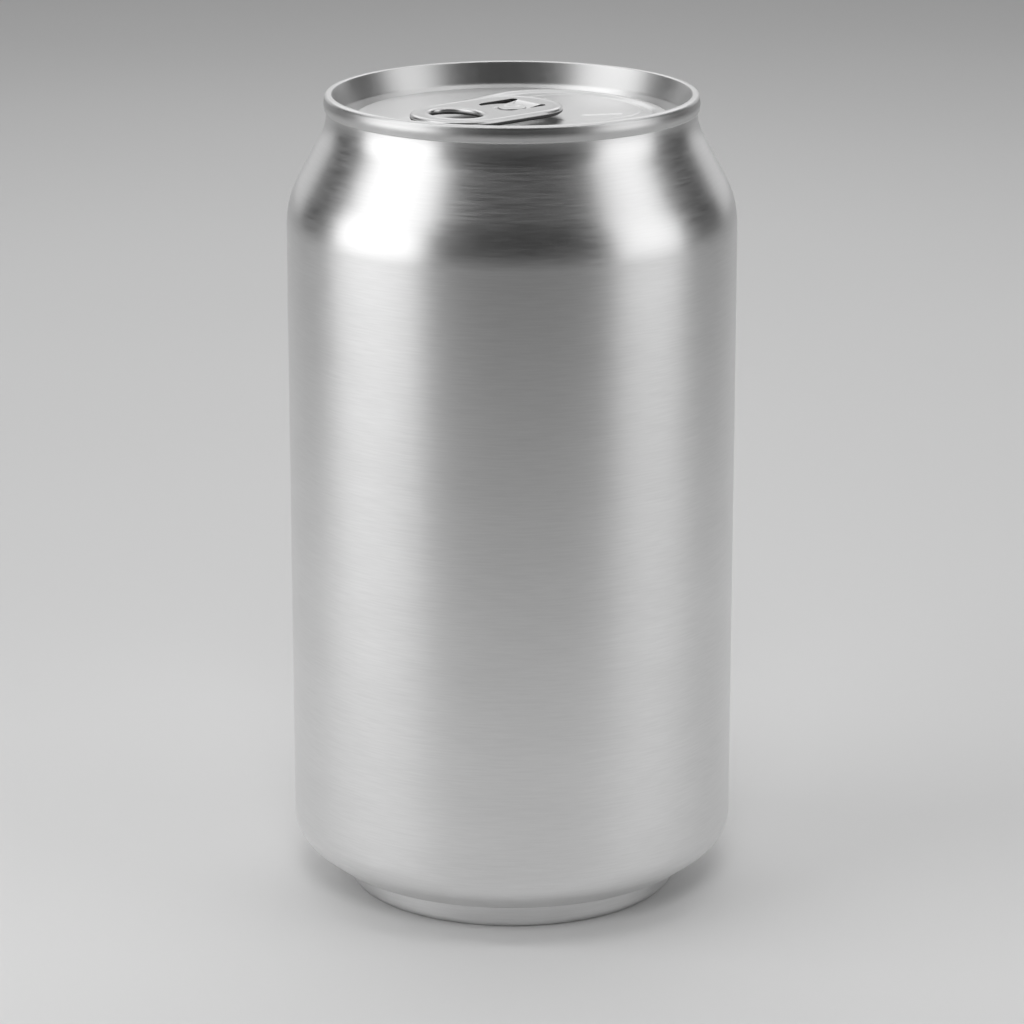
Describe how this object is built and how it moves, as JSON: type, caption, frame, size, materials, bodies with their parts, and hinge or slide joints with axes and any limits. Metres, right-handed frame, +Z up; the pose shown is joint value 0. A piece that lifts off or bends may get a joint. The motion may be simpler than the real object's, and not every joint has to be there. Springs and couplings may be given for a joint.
{
  "type": "soda can",
  "caption": "Shut bare aluminium drinks can with a necked-in top, seamed lid, stay-on pull tab and domed base.",
  "frame": {"origin": "middle of the foot ring's resting plane, on the can's axis", "axes": "+Z up along the can's axis, -Y the front, the tab's nose pointing to the back right"},
  "size_m": [0.0662, 0.0662, 0.1206],
  "materials": {
    "body": "fine brushed, satin",
    "lid": "rolled, satin",
    "tab": "stamped, smooth satin"
  },
  "bodies": {
    "root": {"can_body": "body", "lid": "lid", "pull_tab": "tab"}
  },
  "joints": []
}
